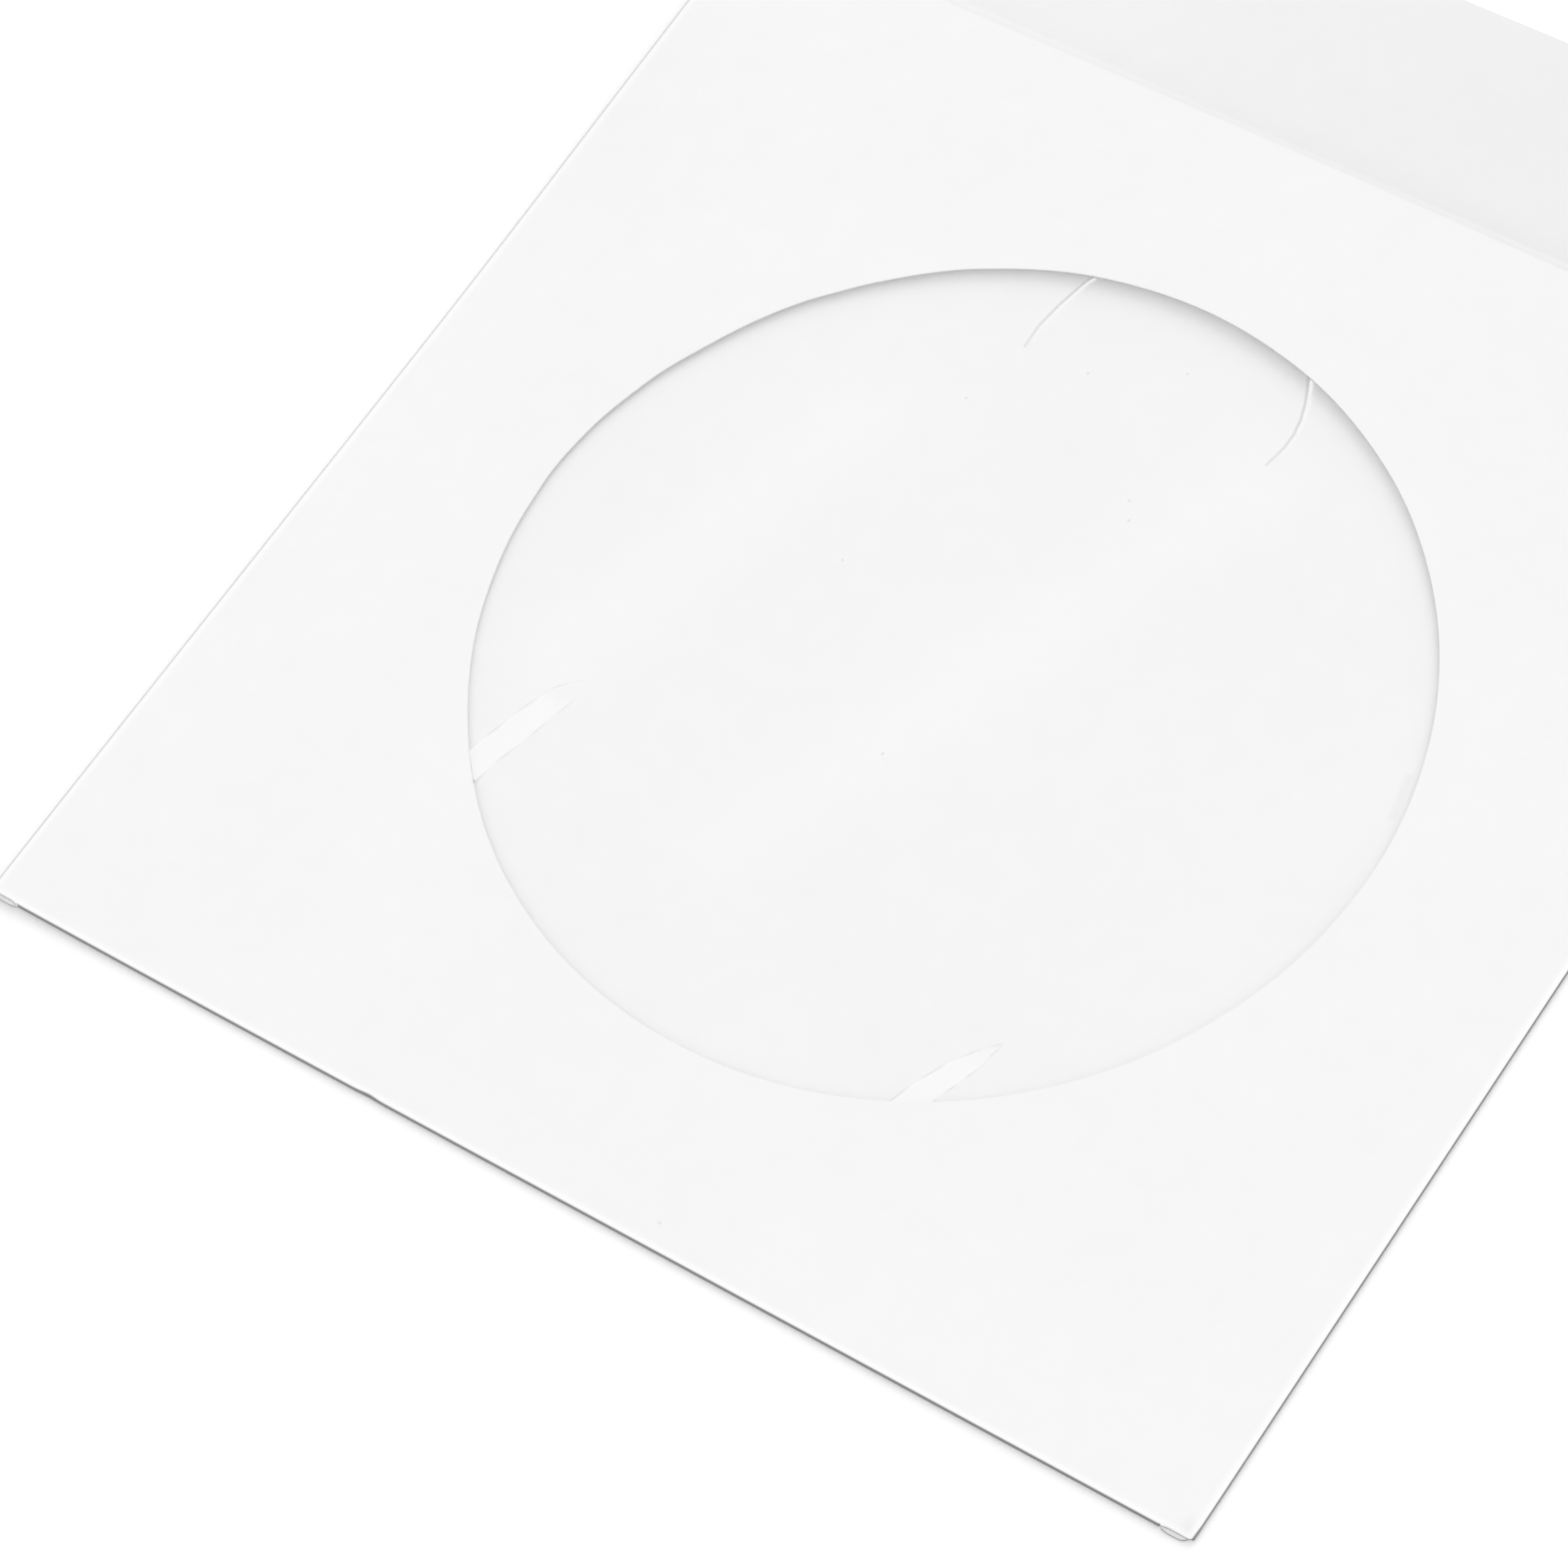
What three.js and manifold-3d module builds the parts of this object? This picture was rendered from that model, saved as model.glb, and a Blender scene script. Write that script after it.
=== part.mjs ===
// Paper sleeve for one 120 mm disc: a folded and glued paper blank with a round window,
// and the clear film patch glued behind the window. It lies on its back panel with the
// closing flap open. Millimetres, +Z up, +Y towards the closing flap.
import * as THREE from 'three';
import { mergeVertices } from 'three/addons/utils/BufferGeometryUtils.js';
import Module from 'manifold-3d';

const wasm = await Module();
wasm.setup();

// The pocket's two panels
const sleeveWidth = 125;
const frontHeight = 123.4;
const backHeight = 124.5;
const backInset = 0.35;

// The paper, and the glue and folds between its layers
const paperThickness = 0.12;
const seamGlueThickness = 0.04;
const sideFoldRadius = 0.11;

// The round window, and the film patch glued behind it
const windowRadius = 43.3;
const windowHeight = 60.7;
const filmSize = 99;
const filmCornerRadius = 3;
const filmThickness = 0.04;
const filmGlueThickness = 0.03;

// The side flaps, folded in behind the front panel and glued to the back panel
const sideFlapWidth = 11.5;
const sideFlapTaper = 5;
const seamGlueWidth = 6;
const seamGlueDistance = 3;

// The closing flap, which carries on from the back panel past the mouth
const flapLength = 20.7;
const flapTaper = 4;
const flapCornerRadius = 6;
const creaseRadius = 1.2;
const flapRiseLeft = 3;
const flapRiseRight = 8;

// The ends of the bottom fold, where a relief slit leaves each layer its own cut corner
const cornerWidth = 3.2;
const reliefSlit = 0.25;
const frontCornerReach = 0.1;
const frontCornerRadius = 1.1;
const backCornerReach = 0.35;
const backCornerRadius = 2.2;

// How the paper bows: the open pocket stands up, and the left edge curls off the table
const mouthBulge = 1.3;
const bulgeLength = 95;
const curlWidth = 26;
const curlLowPoint = 68;
const curlHeightAtBottom = 0.9;
const curlHeightAtMouth = 1.5;

// How finely the bowed sheets, the folds and the rounded cuts are faceted
const panelStep = 5.4;
const foldSteps = 6;
const roundSteps = 8;
const windowSteps = 48;

// Heights of the layers' middle surfaces above the table, from the back panel up
const backLevel = paperThickness / 2;
const sideFlapLevel = backLevel + paperThickness + seamGlueThickness;
const frontLevel = sideFlapLevel + 2 * sideFoldRadius;
const filmLevel = frontLevel - (paperThickness + filmThickness) / 2 - filmGlueThickness;

// The folds' outer faces are the sleeve's edges, and their tangents lie this far inside
const sideFoldOuter = sideFoldRadius + paperThickness / 2;
const spineRadius = (frontLevel - backLevel) / 2;
const spineOuter = spineRadius + paperThickness / 2;
const middle = sleeveWidth / 2;

// A rise from 0 to 1 with level ends
function eased(share) {
  const held = THREE.MathUtils.clamp(share, 0, 1);
  return held * held * (3 - 2 * held);
}

// How far every layer stands off the table at a place
function curl(x, y) {
  const across = 1 - THREE.MathUtils.clamp(x / curlWidth, 0, 1);
  const towardsBottom = curlHeightAtBottom * eased((curlLowPoint - y) / curlLowPoint);
  const towardsMouth = curlHeightAtMouth * eased((y - curlLowPoint) / (frontHeight - curlLowPoint));
  return (towardsBottom + towardsMouth) * across * across;
}

// How far the front panel stands off the layers below it, from nothing at the folds
function bulge(x, y) {
  const across = Math.sin(Math.PI * THREE.MathUtils.clamp(x / sleeveWidth, 0, 1)) ** 2;
  return mouthBulge * across * eased((y - spineOuter) / bulgeLength);
}

// Evenly spaced stations from one value to another, no further apart than a step
function stations(from, to, step) {
  const count = Math.max(1, Math.ceil(Math.abs(to - from) / step));
  return Array.from({ length: count + 1 }, (unused, i) => from + ((to - from) * i) / count);
}

// The given stations that lie inside a shorter span, with the span's own ends
function stationsWithin(all, from, to) {
  const tooClose = 0.1;
  return [from, ...all.filter((at) => at > from + tooClose && at < to - tooClose), to];
}

// A sheet as a box with a grid of stations, each of whose points is then put in its place.
// place(column, row, side) gets side from -0.5 on the sheet's lower face to 0.5 on the upper.
function bentSheet(columns, rows, place) {
  const sheet = new THREE.BoxGeometry(1, 1, 1, columns.length - 1, rows.length - 1, 1);
  const points = sheet.attributes.position;
  for (let i = 0; i < points.count; i += 1) {
    const column = Math.round((points.getX(i) + 0.5) * (columns.length - 1));
    const row = Math.round((points.getY(i) + 0.5) * (rows.length - 1));
    points.setXYZ(i, ...place(columns[column], rows[row], points.getZ(i)));
  }
  return solidOf(sheet);
}

// A closed geometry as a solid that can be joined and cut
function solidOf(geometry) {
  geometry.deleteAttribute('normal');
  geometry.deleteAttribute('uv');
  const merged = mergeVertices(geometry, 1e-5);
  return new wasm.Manifold(new wasm.Mesh({
    numProp: 3,
    vertProperties: new Float32Array(merged.attributes.position.array),
    triVerts: new Uint32Array(merged.index.array),
  }));
}

// A named piece of the sleeve from its solid
function pieceOf(name, solid, material) {
  const mesh = solid.getMesh();
  const geometry = new THREE.BufferGeometry();
  geometry.setAttribute('position', new THREE.BufferAttribute(mesh.vertProperties, 3));
  geometry.setIndex(new THREE.BufferAttribute(mesh.triVerts, 1));
  geometry.computeVertexNormals();
  const piece = new THREE.Mesh(geometry, material);
  piece.name = name;
  return piece;
}

// A cutter that stands on an outline and reaches past every layer
function prism(outline, curveSegments = roundSteps) {
  const reach = 50;
  const cutter = new THREE.ExtrudeGeometry(outline, {
    depth: 2 * reach,
    bevelEnabled: false,
    curveSegments,
  });
  return solidOf(cutter.translate(0, 0, -reach));
}

// The other half of an outline that is symmetrical about the sleeve's middle
function opposite(points) {
  return points.map((point) => new THREE.Vector2(sleeveWidth - point.x, point.y)).reverse();
}

// Stations along the front strip, which runs from the left side flap round the left fold,
// over the front panel, and round the right fold to the right side flap. On the panel a
// station is its place across the sleeve. Beyond the folds' tangents it is a length of paper.
const foldEnd = sideFoldOuter - Math.PI * sideFoldRadius;
const flapEdge = foldEnd - (sideFlapWidth - sideFoldOuter);
const panelColumns = stations(cornerWidth, sleeveWidth - cornerWidth, panelStep);
const cornerColumn = cornerWidth - reliefSlit;
const foldColumns = stations(foldEnd, sideFoldOuter, (Math.PI * sideFoldRadius) / foldSteps);
const underPanel = stationsWithin(panelColumns, sideFoldOuter, sideFlapWidth).slice(1);
const flapColumns = underPanel.map((x) => foldEnd - (x - sideFoldOuter)).reverse();
const leftColumns = [...flapColumns, ...foldColumns, cornerColumn];
const rightColumns = leftColumns.map((column) => sleeveWidth - column).reverse();
const panelRows = stations(spineOuter, frontHeight, panelStep);

// A point of the front strip, worked out from the nearer side edge of the sleeve
function placeOnFront(column, row, side) {
  const onRight = column > middle;
  const fromEdge = onRight ? sleeveWidth - column : column;
  const offset = side * paperThickness;
  const place = { inward: fromEdge, y: row, level: frontLevel + offset };
  if (fromEdge < foldEnd) {
    const share = (foldEnd - fromEdge) / (foldEnd - flapEdge);
    const squeeze = 1 - (2 * sideFlapTaper * share) / (frontHeight - spineOuter);
    place.inward = sideFoldOuter + foldEnd - fromEdge;
    place.y = spineOuter + sideFlapTaper * share + (row - spineOuter) * squeeze;
    place.level = sideFlapLevel - offset;
  } else if (fromEdge < sideFoldOuter) {
    const turn = (sideFoldOuter - fromEdge) / sideFoldRadius;
    const radius = sideFoldRadius + offset;
    place.inward = sideFoldOuter - radius * Math.sin(turn);
    place.level = sideFlapLevel + sideFoldRadius + radius * Math.cos(turn);
  } else {
    place.level += bulge(column, row);
  }
  const x = onRight ? sleeveWidth - place.inward : place.inward;
  return [x, place.y, place.level + curl(x, place.y)];
}

// A point of the bottom fold, whose row is the angle turned from the front panel
function placeOnSpine(x, angle, side) {
  const radius = spineRadius + side * paperThickness;
  const y = spineOuter - radius * Math.sin(angle);
  return [x, y, backLevel + spineRadius + radius * Math.cos(angle) + curl(x, y)];
}

// A point of the back panel and, past the crease, of the closing flap that rises from it
function placeOnBack(x, row, side) {
  const past = Math.max(row - backHeight, 0);
  const share = THREE.MathUtils.clamp(x / sleeveWidth, 0, 1);
  const rise = THREE.MathUtils.degToRad(THREE.MathUtils.lerp(flapRiseLeft, flapRiseRight, share));
  const turn = Math.min(past / creaseRadius, rise);
  const straight = past - turn * creaseRadius;
  const offset = side * paperThickness;
  const panelY = Math.min(row, backHeight);
  const y = panelY + (creaseRadius - offset) * Math.sin(turn) + straight * Math.cos(rise);
  const bend = creaseRadius - (creaseRadius - offset) * Math.cos(turn);
  return [x, y, backLevel + bend + straight * Math.sin(rise) + curl(x, panelY)];
}

// The cut edge of a corner, which runs from the fold's line out to the tip of the corner
function cornerEdge(x, reach) {
  const share = 1 - Math.min(x, sleeveWidth - x) / cornerWidth;
  return -reach * Math.max(share, 0);
}

// What is cut away outside both rounded corners at the bottom of a layer
function cornerTrims(inset, reach, radius) {
  const margin = 2;
  const outline = new THREE.Path();
  outline.moveTo(inset - margin, -reach - margin);
  outline.lineTo(inset + radius, -reach - margin);
  outline.absarc(inset + radius, radius - reach, radius, -Math.PI / 2, -Math.PI, true);
  outline.lineTo(inset - margin, radius - reach);
  const points = outline.getPoints(roundSteps);
  return prism(new THREE.Shape(points)).add(prism(new THREE.Shape(opposite(points))));
}

// The two corners of a layer, below the tangent of the bottom fold
function corners(columns, place, reach) {
  const placeInCorner = (column, row, side) => {
    const [x] = place(column, spineOuter, side);
    return place(column, row ? spineOuter : cornerEdge(x, reach), side);
  };
  const opposed = columns.map((column) => sleeveWidth - column).reverse();
  const left = bentSheet(columns, [0, 1], placeInCorner);
  return left.add(bentSheet(opposed, [0, 1], placeInCorner));
}

// The front panel with its side folds and side flaps, and the round window cut through it
function frontStrip() {
  const columns = [...leftColumns, ...panelColumns, ...rightColumns];
  const window = new THREE.Shape();
  window.absarc(middle, windowHeight, windowRadius, 0, 2 * Math.PI, false);
  const whole = bentSheet(columns, panelRows, placeOnFront);
  const cornerPair = corners([...foldColumns, cornerColumn], placeOnFront, frontCornerReach);
  const trims = cornerTrims(0, frontCornerReach, frontCornerRadius);
  return whole.subtract(prism(window, windowSteps)).add(cornerPair.subtract(trims));
}

// The bottom fold, between the relief slits
function spine() {
  return bentSheet(panelColumns, stations(Math.PI, 0, Math.PI / foldSteps), placeOnSpine);
}

// What is left of the closing flap's blank once its sides are tapered and its corners rounded
function flapOutline() {
  const edgeRow = backHeight + flapLength;
  const [, leftEnd] = placeOnBack(backInset, edgeRow, 0.5);
  const [, rightEnd] = placeOnBack(sleeveWidth - backInset, edgeRow, 0.5);
  const halfOutline = (end) => {
    const half = new THREE.Path();
    half.moveTo(backInset, spineOuter);
    half.lineTo(backInset, backHeight);
    const shoulder = new THREE.Vector2(backInset, backHeight);
    const tip = new THREE.Vector2(backInset + flapTaper, end);
    const beforeTip = tip.clone().lerp(shoulder, flapCornerRadius / flapLength);
    half.lineTo(beforeTip.x, beforeTip.y);
    half.quadraticCurveTo(tip.x, tip.y, tip.x + flapCornerRadius, end);
    return half.getPoints(roundSteps);
  };
  return new THREE.Shape([...halfOutline(leftEnd), ...opposite(halfOutline(rightEnd))]);
}

// The back panel and the closing flap
function backStrip() {
  const innermost = backInset + backCornerRadius / 2;
  const columns = [backInset, ...panelColumns, sleeveWidth - backInset];
  const creaseLength = creaseRadius * THREE.MathUtils.degToRad(flapRiseRight);
  const rows = [
    ...stations(spineOuter, backHeight, panelStep),
    ...stations(backHeight, backHeight + creaseLength, creaseLength / 2).slice(1),
    ...stations(backHeight + creaseLength, backHeight + flapLength, panelStep).slice(1),
  ];
  const whole = bentSheet(columns, rows, placeOnBack);
  const cornerPair = corners([backInset, innermost, cornerColumn], placeOnBack, backCornerReach);
  const trims = cornerTrims(backInset, backCornerReach, backCornerRadius);
  return whole.intersect(prism(flapOutline())).add(cornerPair.subtract(trims));
}

// The two lines of glue that bond the side flaps to the back panel
function seamGlue() {
  const bite = 0.4 * paperThickness;
  const gapLevel = (backLevel + sideFlapLevel) / 2;
  const placeInSeam = (x, y, side) => {
    return [x, y, gapLevel + side * (seamGlueThickness + 2 * bite) + curl(x, y)];
  };
  const ends = [spineOuter + sideFlapTaper, frontHeight - sideFlapTaper];
  const rows = stationsWithin(panelRows, ...ends);
  const left = stationsWithin(panelColumns, seamGlueDistance, seamGlueDistance + seamGlueWidth);
  const right = left.map((x) => sleeveWidth - x).reverse();
  return bentSheet(left, rows, placeInSeam).add(bentSheet(right, rows, placeInSeam));
}

// A square outline with rounded corners, from its lowest corner
function roundedSquare(left, bottom, size, radius) {
  const outline = new THREE.Path();
  const [near, far] = [radius, size - radius];
  const centres = [[far, far], [near, far], [near, near], [far, near]];
  centres.forEach(([x, y], quarter) => {
    const start = (quarter * Math.PI) / 2;
    outline.absarc(left + x, bottom + y, radius, start, start + Math.PI / 2, false);
  });
  return new THREE.Shape(outline.getPoints(roundSteps));
}

// The film patch, which follows the front panel's inner face
function windowFilm() {
  const [left, bottom] = [middle - filmSize / 2, windowHeight - filmSize / 2];
  const columns = stationsWithin(panelColumns, left, left + filmSize);
  const rows = stationsWithin(panelRows, bottom, bottom + filmSize);
  const placeOnFilm = (x, y, side) => {
    return [x, y, filmLevel + side * filmThickness + bulge(x, y) + curl(x, y)];
  };
  const outline = roundedSquare(left, bottom, filmSize, filmCornerRadius);
  return bentSheet(columns, rows, placeOnFilm).intersect(prism(outline));
}

const paper = new THREE.MeshStandardMaterial({ color: 0xf6f6f6, roughness: 0.85, metalness: 0 });
const film = new THREE.MeshStandardMaterial({
  color: 0xfafafa,
  roughness: 0.15,
  metalness: 0,
  transparent: true,
  opacity: 0.25,
});

const sleeve = new THREE.Group();
const blank = frontStrip().add(spine()).add(backStrip()).add(seamGlue());
sleeve.add(pieceOf('paper_sleeve', blank, paper));
sleeve.add(pieceOf('window_film', windowFilm(), film));

// The frame's origin is on the table under the middle of the sleeve
const extent = new THREE.Box3().setFromObject(sleeve);
const centre = extent.getCenter(new THREE.Vector3());
sleeve.position.set(-centre.x, -centre.y, -extent.min.z);

export default sleeve;
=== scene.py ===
"""Paper sleeve for one 120 mm disc, lying on a white table with its window side up.

The sleeve is one folded sheet of white uncoated paper. It starts as the front panel, a
ring of faces from the round window out to the panel's outline. From there the paper is
extruded round the side folds to the side flaps, and round the bottom fold, where it is
merged with a grid that is the back panel and the closing flap. The window film is a sheet
of its own behind the window.
"""

import math

import bmesh
import bpy
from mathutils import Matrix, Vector


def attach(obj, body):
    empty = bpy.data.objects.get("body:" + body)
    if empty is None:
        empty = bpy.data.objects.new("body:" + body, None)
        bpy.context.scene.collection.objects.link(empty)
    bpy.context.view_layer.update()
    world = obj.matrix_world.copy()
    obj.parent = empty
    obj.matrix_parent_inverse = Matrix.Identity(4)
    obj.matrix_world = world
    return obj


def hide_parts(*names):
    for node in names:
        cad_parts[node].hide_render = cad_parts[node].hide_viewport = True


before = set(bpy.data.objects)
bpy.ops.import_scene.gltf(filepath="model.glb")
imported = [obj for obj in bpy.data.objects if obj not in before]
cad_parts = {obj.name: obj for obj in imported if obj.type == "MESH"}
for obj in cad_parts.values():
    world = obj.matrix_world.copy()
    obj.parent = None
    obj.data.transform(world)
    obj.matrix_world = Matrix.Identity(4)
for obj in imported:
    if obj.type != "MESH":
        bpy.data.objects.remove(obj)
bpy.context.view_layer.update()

# ---------------------------------------------------------------- sizes, in millimetres

WIDTH = 125.0
FRONT_HEIGHT = 123.4
BACK_HEIGHT = 124.5
BACK_INSET = 0.35

PAPER = 0.12
# The gap that the seams' glue fills. The glue itself is out of sight and isn't modelled here.
SEAM_GLUE = 0.04
SIDE_FOLD_RADIUS = 0.11

WINDOW_RADIUS = 43.3
WINDOW_X = WIDTH / 2
WINDOW_Y = 60.7
FILM_SIZE = 99.0
FILM_CORNER = 3.0
FILM = 0.04
FILM_GLUE = 0.03

SIDE_FLAP = 11.5
SIDE_FLAP_TAPER = 5.0

FLAP_LENGTH = 20.7
FLAP_TAPER = 4.0
FLAP_CORNER = 6.0
CREASE_RADIUS = 1.2
FLAP_RISE_LEFT = math.radians(3)
FLAP_RISE_RIGHT = math.radians(8)

# The two layers' cut corners at the bottom: how wide they are, over what width each cut
# steps away from the fold, and how far each layer reaches past it and is rounded
CORNER = 3.2
SLIT_STEP = 0.7
FRONT_REACH, FRONT_ROUNDING = -0.15, 0.6
BACK_REACH, BACK_ROUNDING = 0.16, 1.0

# How the paper bows. The solids have higher values: these lie nearer to the shadows seen.
MOUTH_BULGE = 0.45
BULGE_LENGTH = 95.0
CURL_WIDTH = 26.0
CURL_LOW_POINT = 68.0
CURL_AT_BOTTOM = 0.3
CURL_AT_MOUTH = 1.0

# The waves of the front panel: how high, and how far from the bottom fold they are full
WAVE_FREE = 25
LONG_WAVE, CROSS_WAVE, WAVE_LIFT = 0.03, 0.045, 0.06
# How far the lower right corner is pressed down, and how widely
CORNER_PRESS, CORNER_PRESS_WIDTH = 0.06, 1.6
# How far the closing flap sways, and how far past the crease it is full
FLAP_SWAY, SWAY_FREE = 0.05, 12

BACK_LEVEL = PAPER / 2
SIDE_FLAP_LEVEL = BACK_LEVEL + PAPER + SEAM_GLUE
FRONT_LEVEL = SIDE_FLAP_LEVEL + 2 * SIDE_FOLD_RADIUS
FILM_LEVEL = FRONT_LEVEL - (PAPER + FILM) / 2 - FILM_GLUE
SIDE_FOLD_OUTER = SIDE_FOLD_RADIUS + PAPER / 2
SPINE_RADIUS = (FRONT_LEVEL - BACK_LEVEL) / 2
SPINE_OUTER = SPINE_RADIUS + PAPER / 2

# The frame's origin, measured from the lower left corner of the sleeve
ORIGIN_X, ORIGIN_Y = 62.5, 72.5

# ---------------------------------------------------------------- how the paper bows


def eased(share):
    """A rise from 0 to 1 with level ends"""
    held = min(max(share, 0.0), 1.0)
    return held * held * (3 - 2 * held)


def blend(a, b, share):
    """The value that lies this share of the way from a to b"""
    return a + (b - a) * share


def hump(distance, width):
    """1 at no distance, falling smoothly to nothing over a few widths"""
    return math.exp(-((distance / width) ** 2))


def curl(x, y):
    """How far every layer stands off the table at a place"""
    across = 1 - min(max(x / CURL_WIDTH, 0.0), 1.0)
    lift = CURL_AT_BOTTOM * eased((CURL_LOW_POINT - y) / CURL_LOW_POINT)
    lift += CURL_AT_MOUTH * eased((y - CURL_LOW_POINT) / (FRONT_HEIGHT - CURL_LOW_POINT))
    return lift * across * across


def bulge(x, y):
    """How far the front panel stands off the layers below it"""
    across = math.sin(math.pi * min(max(x / WIDTH, 0.0), 1.0)) ** 2
    return MOUTH_BULGE * across * eased((y - SPINE_OUTER) / BULGE_LENGTH)


def waver(x, y):
    """The slight waves that handling leaves in paper, which die out at the folds"""
    held = math.sin(math.pi * min(max(x / WIDTH, 0.0), 1.0)) * eased(y / WAVE_FREE)
    long_wave = math.sin((0.83 * x + 0.55 * y) / 9.0 + 0.7)
    cross_wave = math.sin((0.35 * x - 0.94 * y) / 13.0 + 2.1)
    return held * (LONG_WAVE * long_wave + CROSS_WAVE * cross_wave + WAVE_LIFT)


def front_z(x, y):
    """The height of the front panel's middle surface"""
    from_corner = math.hypot(WIDTH - x, y)
    pressed = CORNER_PRESS * hump(from_corner, CORNER_PRESS_WIDTH)
    return FRONT_LEVEL + bulge(x, y) + curl(x, y) + waver(x, y) - pressed


def place(x, y, z):
    """A point in the frame's metres, from millimetres off the sleeve's lower left corner"""
    return Vector(((x - ORIGIN_X) / 1000, (y - ORIGIN_Y) / 1000, z / 1000))


# ---------------------------------------------------------------- outlines and stations


def stations(start, end, step):
    """Evenly spaced stations from one value to another, no further apart than a step"""
    count = max(1, math.ceil(abs(end - start) / step))
    return [blend(start, end, i / count) for i in range(count + 1)]


# The small dent in the bottom fold: its place, depth and width, and how far up it is felt
FOLD_KINK_X = 41.8
FOLD_KINK_DEPTH, FOLD_KINK_WIDTH = 0.13, 0.9
FOLD_KINK_REACH = 3

# How finely the panels are faceted, along the dent and elsewhere
PANEL_STEP, KINK_STEP = 1.3, 0.4
KINK_SPAN = (FOLD_KINK_X - FOLD_KINK_REACH, FOLD_KINK_X + FOLD_KINK_REACH)
CORNER_COLUMNS = [BACK_INSET, 0.55, 0.8, 1.1, 1.45, 1.85, 2.35, 2.95]
PANEL_COLUMNS = (
    stations(CORNER, KINK_SPAN[0], PANEL_STEP)
    + stations(*KINK_SPAN, KINK_STEP)[1:]
    + stations(KINK_SPAN[1], WIDTH - CORNER, PANEL_STEP)[1:]
)
MIRRORED_CORNER = [WIDTH - x for x in reversed(CORNER_COLUMNS)]
SIDE_SHARES = stations(0, 1, 1 / 90)
SIDE_FOLD_STEPS = 10
BOTTOM_FOLD_STEPS = 12

# The front panel's rings of faces: from the window to a frame just inside the panel's
# outline, and from there to the outline. They are closer together at the window and at
# the outline, by a power of their share of the way.
INNER_RINGS, INNER_POWER = 30, 1.6
OUTER_RINGS, OUTER_POWER = 10, 1.8
INNER_FRAME = 4.0


def fold_kink(x, y):
    """How far the dent in the bottom fold pushes the paper inwards"""
    near = hump(x - FOLD_KINK_X, FOLD_KINK_WIDTH)
    return FOLD_KINK_DEPTH * near * (1 - eased(y / FOLD_KINK_REACH))


def low_edge(x, reach, rounding, inset):
    """Where a layer ends at the bottom: at its cut corner, or else at the fold's tangent"""
    from_side = min(x, WIDTH - x)
    if from_side >= CORNER:
        return SPINE_OUTER
    cut = -reach * eased((CORNER - from_side) / SLIT_STEP)
    across = inset + rounding - from_side
    if across <= 0:
        return cut
    rounded = rounding - reach - math.sqrt(max(rounding**2 - across**2, 0.0))
    return max(cut, rounded)


def front_low(x):
    return low_edge(x, FRONT_REACH, FRONT_ROUNDING, 0.0)


def back_low(x):
    return low_edge(x, BACK_REACH, BACK_ROUNDING, BACK_INSET)


# The window's cut edge runs a little in and out of its circle, where the film pulls at it.
# Each pair is a direction from the window's centre, in degrees, and millimetres outwards.
RIM_WANDER = [
    (1, -0.10), (20, -0.20), (40, -0.25), (58, -0.12), (76, 0.08), (92, 0.22), (105, 0.20),
    (119, -0.02), (132, -0.26), (137, -0.30), (141, -0.22), (153, -0.28), (163, 0.0),
    (172, 0.22), (179, 0.30), (184, 0.18), (201, 0.0), (215, -0.16), (237, 0.0), (300, 0.0),
]


def rim_wander(angle):
    """How far the window's edge lies outside its circle in a direction"""
    degrees = math.degrees(angle) % 360
    pairs = RIM_WANDER + [(RIM_WANDER[0][0] + 360, RIM_WANDER[0][1])]
    if degrees < pairs[0][0]:
        degrees += 360
    for (a, out_a), (b, out_b) in zip(pairs, pairs[1:]):
        if a <= degrees <= b:
            return blend(out_a, out_b, eased((degrees - a) / (b - a)))
    return 0.0


# ---------------------------------------------------------------- the folded paper


def next_row(bm, row, points, closed=False, painted_shade=0.0):
    """Extrudes a row of vertices by one step, to the given points. The last argument says
    how much painted shade greys the paper there."""
    pairs = list(zip(row, row[1:])) + ([(row[-1], row[0])] if closed else [])
    edges = [bm.edges.get(pair) for pair in pairs]
    made = bmesh.ops.extrude_edge_only(bm, edges=edges)["geom"]
    fresh = {item for item in made if isinstance(item, bmesh.types.BMVert)}
    following = []
    for vert in row:
        across = [edge.other_vert(vert) for edge in vert.link_edges]
        following.append(next(other for other in across if other in fresh))
    for vert, point in zip(following, points):
        vert.co = point
        vert[bm.verts.layers.float["painted_shade"]] = painted_shade
    return following


def front_outline():
    """The front panel's outline, anticlockwise from its lower left corner, side by side"""
    columns = [SIDE_FOLD_OUTER] + CORNER_COLUMNS + PANEL_COLUMNS + MIRRORED_CORNER
    columns.append(WIDTH - SIDE_FOLD_OUTER)
    low = front_low(SIDE_FOLD_OUTER)
    bottom = [(x, front_low(x) + fold_kink(x, 0)) for x in columns]
    heights = [blend(low, FRONT_HEIGHT, share) for share in SIDE_SHARES]
    right = [(columns[-1], y) for y in heights]
    mouth = [(x, FRONT_HEIGHT) for x in stations(columns[-1], columns[0], PANEL_STEP)]
    left = [(columns[0], y) for y in reversed(heights)]
    return bottom, right, mouth, left


def inner_frame(sides):
    """A rectangle just inside the outline, with a point for each of the outline's"""
    right, top = WIDTH - INNER_FRAME, FRONT_HEIGHT - INNER_FRAME
    corners = [(INNER_FRAME, INNER_FRAME), (right, INNER_FRAME), (right, top), (INNER_FRAME, top)]
    points = []
    for index, side in enumerate(sides):
        (ax, ay), (bx, by) = corners[index], corners[(index + 1) % 4]
        along = 0 if index % 2 == 0 else 1
        first, last = side[0][along], side[-1][along]
        for point in side[:-1]:
            share = (point[along] - first) / (last - first)
            points.append((blend(ax, bx, share), blend(ay, by, share)))
    return points


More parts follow.
